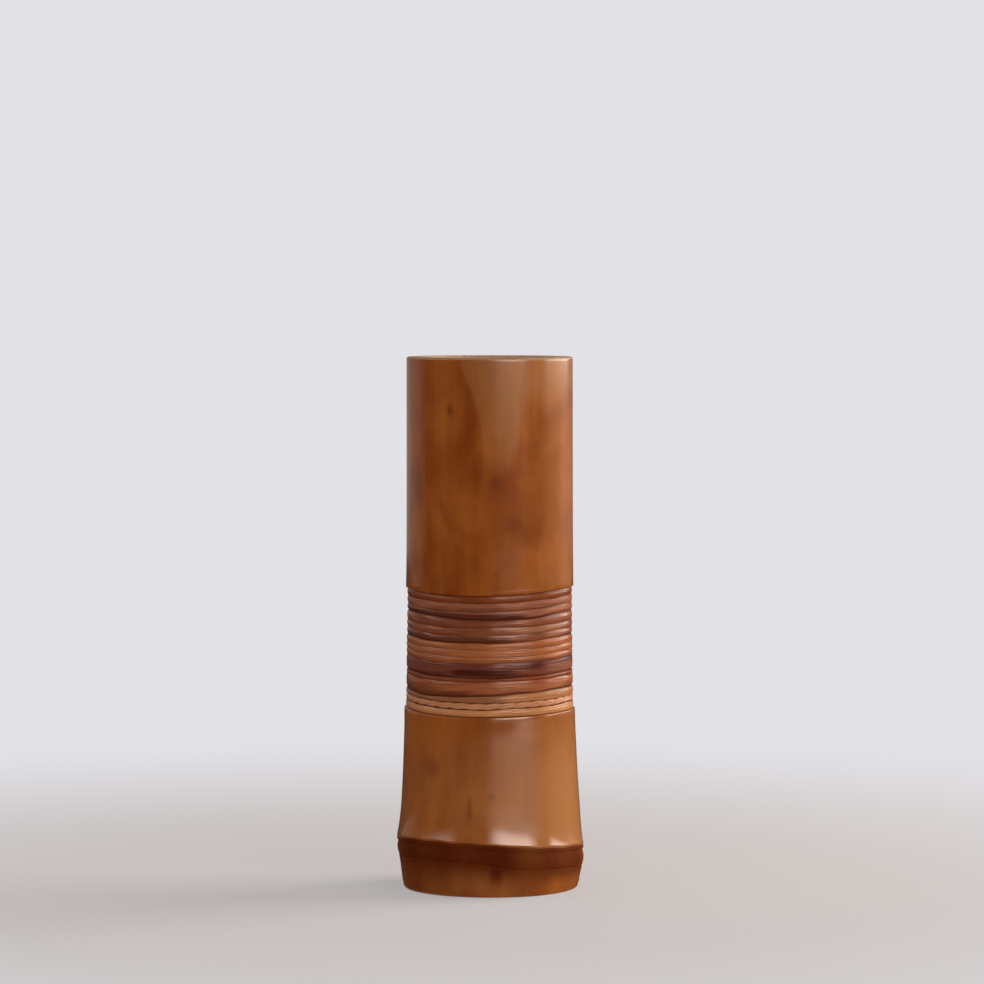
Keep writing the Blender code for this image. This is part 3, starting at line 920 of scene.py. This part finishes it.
def streaked(streaks, first_row, bearing, across):
    """How strongly each point of a length is marked by the streaks that lie on it."""
    row = first_row + np.floor((bearing - BACK) / 360)
    total = np.zeros(np.broadcast_shapes(bearing.shape, across.shape))
    for streak in streaks:
        along = between(bearing, streak.start, streak.end, STREAK_ENDS) * (row == streak.row)
        middle, half = (streak.low + streak.high) / 2, (streak.high - streak.low) / 2
        belly = between(bearing, streak.start, streak.end, streak.end - streak.start)
        wide = half * (1 - STREAK_TAPER + STREAK_TAPER * belly)
        beside = 1 - smooth(np.abs(across - middle), wide - STREAK_EDGE, wide + STREAK_EDGE)
        total = np.maximum(total, streak.strength * along * beside)
    return total


def ply_rings(feet, out, low, high, turned, inner_to_middle):
    """Rings of one ply, which winds round the strand's middle line."""
    middle = feet + out * inner_to_middle
    angle = np.radians(turned)
    centre = middle + out * (PLY_OUT * np.cos(angle))[:, None]
    level = (low + high) / 2 + PLY_UP * np.sin(angle)
    round_it = np.linspace(0, math.tau, PLY_POINTS + 1)[:-1]
    plan = centre[:, None, :] + out[:, None, :] * (PLY_RADIUS * np.cos(round_it))[:, None]
    z = level[:, None] + PLY_RADIUS * np.sin(round_it)
    return raised(plan, z)


def twist_mesh(length, starts_coil, first_row):
    """A strand of thin plies of rattan twisted together."""
    feet, out, bearing = path(length, starts_coil, first_row)
    low, high = edges(length, first_row, bearing, seam)
    sag = band_sag(low, bearing)
    low, high = low + sag, high + sag
    steps = np.hypot(*np.diff(feet, axis=0).T)
    along = np.concatenate([[0], np.cumsum(steps)])
    turned = along / TWIST_PITCH * 360 + TWIST_START
    middle = STRIP_THICKNESS - PLY_RADIUS - PLY_OUT
    plies = [ply_rings(feet, out, low, high, turned + ply, middle) for ply in PLIES]
    mesh = capped_tubes("wound_" + length.node, *plies)
    for name in ("edge", "stain", "faded"):
        tone(mesh, name, np.zeros(len(mesh.vertices)))
    return mesh


def wound():
    """Each length in turn, whether it starts a coil or stands alone, and its first row."""
    first, joined = 0, False
    for length in LENGTHS:
        yield length, not joined, first
        first += length.turns
        joined = length.climbs_on


def pocket_at(bearing, row, thickness):
    """The cut in the recess's floor that takes the tails of a row."""
    low, high = ROWS[row]
    half = math.degrees((thickness / 2 + FIT) / (recess_radius(low) - TAIL_SEAT / 2))
    return Pocket(bearing - half, bearing + half, low - FIT, high + FIT)


def pockets():
    """Every pocket: one for each pair of tails that meet, and one at each end of the coil."""
    cut = []
    pair = 2 * STRIP_THICKNESS + TURN_GAP
    for length, starts_coil, first in wound():
        z = ROWS[first][0]
        start, end = run_ends(length, starts_coil, z)
        after = first + length.turns
        if length.side:
            cut.append(pocket_at(BACK + length.side * JOIN_STAGGER, first, pair))
        elif starts_coil:
            cut.append(pocket_at(start - tail_offset(z), first, STRIP_THICKNESS))
        if length.climbs_on:
            cut.append(pocket_at(end + half_pair(z), after, pair))
        elif not length.side:
            cut.append(pocket_at(end + tail_offset(z), after - 1, STRIP_THICKNESS))
    return cut


POCKETS = pockets()


def make_rattan():
    """Every length, wound in its rows."""
    for length, starts_coil, first in wound():
        build = twist_mesh if length.node == "rattan_twist" else strip_mesh
        mesh = build(length, starts_coil, first)
        mesh.materials.append(rattan_peel(length, first))
        piece(mesh, length.node, length.node)


# Finishes

def new_material(name):
    """A new material, with its node tree and its shader."""
    made = bpy.data.materials.new(name)
    made.use_nodes = True
    return made.node_tree, made.node_tree.nodes["Principled BSDF"], made


def stretched(tree, across, along):
    """Object coordinates scaled for a pattern: its size in mm across the culm and along it."""
    here = add(tree, "ShaderNodeTexCoord").outputs["Object"]
    scale = (1 / (across * MM), 1 / (across * MM), 1 / (along * MM))
    return add(tree, "ShaderNodeMapping", Vector=here, Scale=scale)


def weighted(tree, *parts):
    """Sum of patterns, each with its weight."""
    total = 0.0
    for pattern, weight in parts:
        total = add(tree, "ShaderNodeMath", {"operation": "MULTIPLY_ADD"},
                    _0=pattern, _1=weight, _2=total)
    return total


def tinted(tree, colour, tints):
    """Lays tints over a colour, by a tone of the mesh and a share of it; returns the last amount too."""
    for name, share, shade in tints:
        amount = add(tree, "ShaderNodeAttribute", {"attribute_name": name}).outputs["Fac"]
        amount = add(tree, "ShaderNodeMath", {"operation": "MULTIPLY"}, _0=amount, _1=share)
        colour = add(tree, "ShaderNodeMix", {"data_type": "RGBA"},
                     Factor=amount, _6=colour, _7=linear(shade)).outputs[2]
    return colour, amount


def lacquered_skin():
    """Bamboo skin, stained brown and brushed with clear lacquer: deep, warm and glossy.

    The skin's long fibres show as faint upright streaks under the smooth coat. Real ones are about
    0.3 mm wide, and these are 0.9 mm, so that they show.
    """
    tree, shader, made = new_material("lacquered_bamboo_skin")
    fibres = add(tree, "ShaderNodeTexNoise", Vector=stretched(tree, 0.9, 26),
                 Scale=1.0, Detail=5.0, Roughness=0.6)
    streaks = add(tree, "ShaderNodeTexNoise", Vector=stretched(tree, 6, 60), Scale=1.0, Detail=3.0)
    clouds = add(tree, "ShaderNodeTexNoise", Vector=stretched(tree, 13, 20),
                 Scale=1.0, Detail=4.0, Distortion=0.6)
    depth = weighted(tree, (fibres, 0.14), (streaks, 0.26), (clouds, 0.60))
    colour = add(tree, "ShaderNodeValToRGB", {"stops": ((0.36, "#934410"), (0.64, "#bf6c2a"))}, Fac=depth)
    # Tints: painted warm light, the painted reflection with the pale corner, blotches, and the burn, which
    # also carries painted shade on the recess floor
    colour, burn_and_recess_shade = tinted(tree, colour, (("painted_warm_light", 1.0, "#cd8c54"), ("pale_corner_and_painted_reflection", 1.0, "#d29a68"),
                                          ("blemish", 1.0, "#6e2f10"), ("burn", 1.0, "#64270e")))
    # Where the skin is burnt, and on the recess floor with its painted shade, it is dull, and takes no
    # lacquer
    rough = add(tree, "ShaderNodeMapRange", Value=clouds, To_Min=0.30, To_Max=0.42)
    rough = add(tree, "ShaderNodeMix", Factor=burn_and_recess_shade, _2=rough, _3=0.8)
    lacquer = add(tree, "ShaderNodeMapRange", Value=burn_and_recess_shade, From_Max=0.8, To_Min=0.9, To_Max=0.0)
    relief = add(tree, "ShaderNodeBump", Height=fibres, Strength=0.25, Distance=0.04 * MM)
    feed(tree, shader, Base_Color=colour, Roughness=rough, Coat_Weight=lacquer,
         Coat_Roughness=0.10, Specular_IOR_Level=0.02, Normal=relief)
    return made


def sawn_end():
    """Bamboo sawn across, stained and sealed: dots of cut fibre bundles in softer ground.

    The bundles lie about half a millimetre apart, and crowd together and darken under the skin.
    """
    tree, shader, made = new_material("sawn_bamboo_end")
    here = add(tree, "ShaderNodeTexCoord").outputs["Object"]
    bundles = add(tree, "ShaderNodeTexVoronoi", Vector=here, Scale=1 / (0.55 * MM))
    ground = add(tree, "ShaderNodeValToRGB", {"stops": ((0.18, "#a1744e"), (0.45, "#deb68e"))}, Fac=bundles)
    plan = add(tree, "ShaderNodeVectorMath", {"operation": "MULTIPLY"}, _0=here, _1=(1.0, 1.0, 0.0))
    out = add(tree, "ShaderNodeVectorMath", {"operation": "LENGTH"}, _0=plan).outputs["Value"]
    dense = add(tree, "ShaderNodeMapRange", {"interpolation_type": "SMOOTHSTEP"},
                Value=out, From_Min=MOUTH_RADIUS - 2.4 * MM, From_Max=MOUTH_RADIUS, To_Max=0.55)
    colour = add(tree, "ShaderNodeMix", {"data_type": "RGBA"},
                 Factor=dense, _6=ground, _7=linear("#9a6a40")).outputs[2]
    relief = add(tree, "ShaderNodeBump", Height=bundles, Strength=0.4, Distance=0.05 * MM)
    feed(tree, shader, Base_Color=colour, Roughness=0.5, Coat_Weight=0.15, Coat_Roughness=0.3, Normal=relief)
    return made


def bare_inside():
    """Inner wall of the culm as it grew, bare and dry: dull, straw-coloured, with long fibres."""
    tree, shader, made = new_material("bare_bamboo_inside")
    fibres = add(tree, "ShaderNodeTexNoise", Vector=stretched(tree, 0.45, 16), Scale=1.0, Detail=5.0)
    colour = add(tree, "ShaderNodeValToRGB", {"stops": ((0.32, "#c6a172"), (0.70, "#d8b888"))}, Fac=fibres)
    relief = add(tree, "ShaderNodeBump", Height=fibres, Strength=0.35, Distance=0.05 * MM)
    feed(tree, shader, Base_Color=colour, Roughness=0.72, Normal=relief)
    return made


def rattan_peel(length, seed):
    """Split rattan peel, dyed and varnished: satin, with fine grooves along it.

    The grooves lie 0.42 mm apart, as the peel's vessels do. The strip's edges are darker, by dye pooled there
    and by painted shade, and so are long streaks of it, by dye and by painted shade below some seams.
    """
    tree, shader, made = new_material(length.node + "_peel")
    # Each length's pattern is taken from a place of its own
    moved = add(tree, "ShaderNodeVectorMath", {"operation": "ADD"},
                _0=stretched(tree, 14, 0.42), _1=(seed * 7.3, seed * 3.1, 0.0))
    grooves = add(tree, "ShaderNodeTexNoise", Vector=moved, Scale=1.0, Detail=4.0, Roughness=0.55)
    patches = add(tree, "ShaderNodeTexNoise", Vector=stretched(tree, 11, 1.6), Scale=1.0, Detail=3.0)
    colour = add(tree, "ShaderNodeValToRGB", {"stops": ((0.38, length.pith), (0.62, length.peel))},
                 Fac=weighted(tree, (grooves, 0.45), (patches, 0.55)))
    # Faded dye; darker streaks of dye and painted shade; painted shade with pooled dye at the edges
    colour, _ = tinted(tree, colour, (("faded", 0.9, "#c89068"), ("stain", 0.9, "#4a140c"),
                                      ("edge", 0.8, "#551c0c")))
    rough = add(tree, "ShaderNodeMapRange", Value=grooves, To_Min=0.30, To_Max=0.46)
    relief = add(tree, "ShaderNodeBump", Height=grooves, Strength=0.4, Distance=0.05 * MM)
    feed(tree, shader, Base_Color=colour, Roughness=rough, Coat_Weight=length.varnish,
         Coat_Roughness=0.18, Specular_IOR_Level=0.05, Normal=relief)
    return made


# Studio

BACKGROUND = "#e2e1e6"
FILL = 0.34
FLOOR_COLOUR = "#e6e2de"
FLOOR_RADIUS = 3.0
FLOOR_STEPS = 96
FLOOR_BELOW = 0.02 * MM
NEAR_FADE = 0.4
FADE_FROM = 0.10
FADE_TO = 0.45

# Soft lamps: bearing and lift in degrees, the rest in metres and watts
Lamp = namedtuple("Lamp", "name bearing lift distance width height power colour")
LAMPS = (
    Lamp("window_right", 109, 24, 1.1, 0.75, 0.7, 7.7, "#fffaf4"),
    Lamp("window_front", 27, 20, 1.2, 0.85, 0.45, 1.5, "#ffffff"),
)
LAMPS_AIM = Vector((0, 0, 0.08))

# The room that the gloss mirrors: how dim it is, and how much brighter or dimmer two of its walls are
ROOM_RADIUS = 1.6
ROOM_BEARINGS = np.arange(0, 360, 3)
ROOM_LIFTS = np.arange(-6, 62, 2)
ROOM_EYE = 0.06
ROOM_DIM = 0.03
LEFT_WALL = Span(-250, -110, 24, 0.36)
BACK_WALL = Span(125, 190, 20, -0.20)

# Its windows, in degrees: the bearings over which each brightens and dims, the lifts over which it
# does, how bright it is, how bright below that, and how much less bright past the lifts of UPPER
Window = namedtuple("Window", "rises falls up down glow below less")
WINDOWS = (
    Window((-4, 20), (44, 67), (1.3, 9.4), (16, 26), 11.0, 0.06, 0.0),
    Window((78, 90), (132, 144), (3.1, 4.7), (34, 44), 10.8, 0.10, 0.70),
    Window((-111, -97), (-53, -39), (6, 12), (14, 24), 3.4, 0.0, 0.0),
)
UPPER = (6, 9)

# The low light: its reach by bearing, its heights in mm with how bright it is there, and its fade
LOW_LIGHT_RADIUS = 0.4
LOW_LIGHT_BEARINGS = np.arange(-16, 82, 2)
LOW_LIGHT_ROWS = 14
LOW_LIGHT_REACH = ((-16, 28), (44, 80))
LOW_LIGHT_LEVELS = (8, 20, 26, 29.5, 31.5, 35, 51, 60)
LOW_LIGHT_GLOW = (0.0, 0.4, 0.7, 0.95, 1.5, 2.4, 3.3, 3.9)
LOW_LIGHT_FADE = (36 * MM, 59 * MM)

# The dark ground that the foot mirrors
DARK_GROUND_HOLE = 26.2 * MM
DARK_GROUND_LIFT = 0.3 * MM
DARK_GROUND_GLOW = 0.05

CAMERA_PLACE = (0.0007, -1.32, 0.1838)
CAMERA_DIPS = 2.80
SENSOR = 36.0
LENS = 160.6


def seen_directly(tree):
    """1 for rays that show the surroundings: camera, reflection and transmission rays."""
    rays = add(tree, "ShaderNodeLightPath").outputs
    seen = 0.0
    for kind in ("Is Camera Ray", "Is Glossy Ray", "Is Transmission Ray"):
        seen = add(tree, "ShaderNodeMath", {"operation": "MAXIMUM"}, _0=seen, _1=rays[kind])
    return seen


def make_world():
    """Pale surroundings to look at, and a weak even fill from them."""
    world = bpy.data.worlds.new("pale_surroundings")
    bpy.context.scene.world = world
    world.use_nodes = True
    tree = world.node_tree
    fill = tree.nodes["Background"]
    feed(tree, fill, Color=linear("#fff0e2"), Strength=FILL)
    shown = add(tree, "ShaderNodeBackground", Color=linear(BACKGROUND), Strength=1.0)
    mixer = add(tree, "ShaderNodeMixShader", _0=seen_directly(tree), _1=fill, _2=shown)
    feed(tree, tree.nodes["World Output"], Surface=mixer)


def make_floor():
    """Pale floor that takes the vase's shadow and fades into the surroundings."""
    mesh = bpy.data.meshes.new("floor")
    shape = bmesh.new()
    bmesh.ops.create_circle(shape, cap_ends=True, segments=FLOOR_STEPS, radius=FLOOR_RADIUS)
    shape.to_mesh(mesh)
    shape.free()
    floor = placed("floor", mesh)
    floor.location.z = -FLOOR_BELOW
    floor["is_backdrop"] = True
    tree, shader, made = new_material("pale_floor")
    mesh.materials.append(made)
    feed(tree, shader, Base_Color=linear(FLOOR_COLOUR), Roughness=0.9, Specular_IOR_Level=0.1)
    here = add(tree, "ShaderNodeTexCoord").outputs["Object"]
    away = add(tree, "ShaderNodeVectorMath", {"operation": "LENGTH"}, _0=here).outputs["Value"]
    fade = add(tree, "ShaderNodeMapRange", {"interpolation_type": "SMOOTHSTEP"},
               Value=away, From_Min=FADE_FROM, From_Max=FADE_TO, To_Min=NEAR_FADE)
    shown = add(tree, "ShaderNodeMath", {"operation": "MULTIPLY"}, _0=fade, _1=seen_directly(tree))
    far = add(tree, "ShaderNodeEmission", Color=linear(BACKGROUND), Strength=1.0)
    mixer = add(tree, "ShaderNodeMixShader", _0=shown, _1=shader, _2=far)
    feed(tree, tree.nodes["Material Output"], Surface=mixer)


def make_lamp(place):
    """Soft rectangular lamp that faces the vase's middle."""
    data = bpy.data.lights.new(place.name, "AREA")
    data.shape = "RECTANGLE"
    data.size, data.size_y = place.width, place.height
    data.energy = place.power
    data.color = linear(place.colour)[:3]
    lamp = placed(place.name, data)
    x, y = direction(place.bearing)
    rise = math.radians(place.lift)
    towards = Vector((x * math.cos(rise), y * math.cos(rise), math.sin(rise)))
    lamp.location = LAMPS_AIM + place.distance * towards
    lamp.rotation_euler = (LAMPS_AIM - lamp.location).to_track_quat("-Z", "Y").to_euler()
    lamp.visible_glossy = False


def across_window(bearing, rises, falls):
    """Share of a window's light at a bearing, given where its soft edges start and end."""
    return smooth(off(bearing, 0), *rises) * (1 - smooth(off(bearing, 0), *falls))


def room_glow(bearing, lift):
    """Brightness of the room that the gloss mirrors, by bearing and height in degrees."""
    glow = ROOM_DIM + within(bearing, LEFT_WALL) + within(bearing, BACK_WALL)
    for window in WINDOWS:
        upper = 1 - window.less * smooth(lift, *UPPER)
        bright = window.below + window.glow * smooth(lift, *window.up) * upper
        bright = bright * (1 - smooth(lift, *window.down))
        glow = glow + bright * across_window(bearing, window.rises, window.falls)
    return glow


def screen(name, radius, bearings, levels):
    """Upright round screen as a mesh, closed where its bearings go all round."""
    around, level = np.meshgrid(bearings, levels)
    points = raised(direction(around) * radius, level)
    index = np.arange(around.size).reshape(around.shape)
    whole = len(bearings) * (bearings[1] - bearings[0]) == 360
    mesh = bpy.data.meshes.new(name)
    mesh.from_pydata(points.reshape(-1, 3).tolist(), [], quads(closed(index) if whole else index))
    return mesh, around, level


def make_room():
    """Round wall that only reflections see: dim, with soft windows at the front and the sides."""
    levels = ROOM_EYE + ROOM_RADIUS * np.tan(np.radians(ROOM_LIFTS))
    mesh, around, level = screen("room", ROOM_RADIUS, ROOM_BEARINGS, levels)
    only_mirrored(mesh, "room_light", "#fff5ec", room_glow(around, ROOM_LIFTS[:, None]), np.ones(level.shape))


def make_low_light():
    """Low bright strip near the front, which the gloss of the band and the lower culm mirrors."""
    levels = np.linspace(LOW_LIGHT_LEVELS[0], LOW_LIGHT_LEVELS[-1], LOW_LIGHT_ROWS) * MM
    mesh, around, level = screen("low_light", LOW_LIGHT_RADIUS, LOW_LIGHT_BEARINGS, levels)
    glow = np.interp(level / MM, LOW_LIGHT_LEVELS, LOW_LIGHT_GLOW) * across_window(around, *LOW_LIGHT_REACH)
    only_mirrored(mesh, "low_light", "#fff2e6", glow, 1 - smooth(level, *LOW_LIGHT_FADE))


def only_mirrored(mesh, name, colour, glow, cover):
    """Stages a mesh that only reflections see: its material's name, its light and what it covers."""
    tone(mesh, "glow", glow)
    tone(mesh, "cover", cover)
    tree, _, made = new_material(name)
    strength = add(tree, "ShaderNodeAttribute", {"attribute_name": "glow"}).outputs["Fac"]
    solid = add(tree, "ShaderNodeAttribute", {"attribute_name": "cover"}).outputs["Fac"]
    light = add(tree, "ShaderNodeEmission", Color=linear(colour), Strength=strength)
    clear = add(tree, "ShaderNodeBsdfTransparent")
    mixer = add(tree, "ShaderNodeMixShader", _0=solid, _1=clear, _2=light)
    feed(tree, tree.nodes["Material Output"], Surface=mixer)
    mesh.materials.append(made)
    staged = placed(mesh.name, mesh)
    staged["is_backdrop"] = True
    staged.visible_camera = staged.visible_diffuse = staged.visible_shadow = False


def make_dark_ground():
    """Dark ring on the floor that only reflections see, so that the foot mirrors it and stays dark."""
    mesh = bpy.data.meshes.new("table_card")
    plan = direction(ROOM_BEARINGS)
    points = [(x * r, y * r, DARK_GROUND_LIFT) for r in (DARK_GROUND_HOLE, ROOM_RADIUS) for x, y in plan]
    inner = np.arange(len(plan))
    mesh.from_pydata(points, [], quads(closed(np.stack([inner, inner + len(plan)]))))
    whole = np.ones(len(points))
    only_mirrored(mesh, "table_light", "#ffd8bc", DARK_GROUND_GLOW * whole, whole)


def make_camera():
    data = bpy.data.cameras.new("camera")
    data.sensor_width = SENSOR
    data.lens = LENS
    camera = placed("camera", data)
    camera.location = CAMERA_PLACE
    camera.rotation_euler = (math.radians(90 - CAMERA_DIPS), 0.0, 0.0)
    bpy.context.scene.camera = camera


make_culm()
make_rattan()
make_world()
make_floor()
for lamp in LAMPS:
    make_lamp(lamp)
make_room()
make_low_light()
make_dark_ground()
make_camera()
bpy.context.scene.view_settings.view_transform = "Standard"

VISUAL_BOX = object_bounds()
[[list(corner) for corner in box] for box in (CAD_BOX, VISUAL_BOX)]
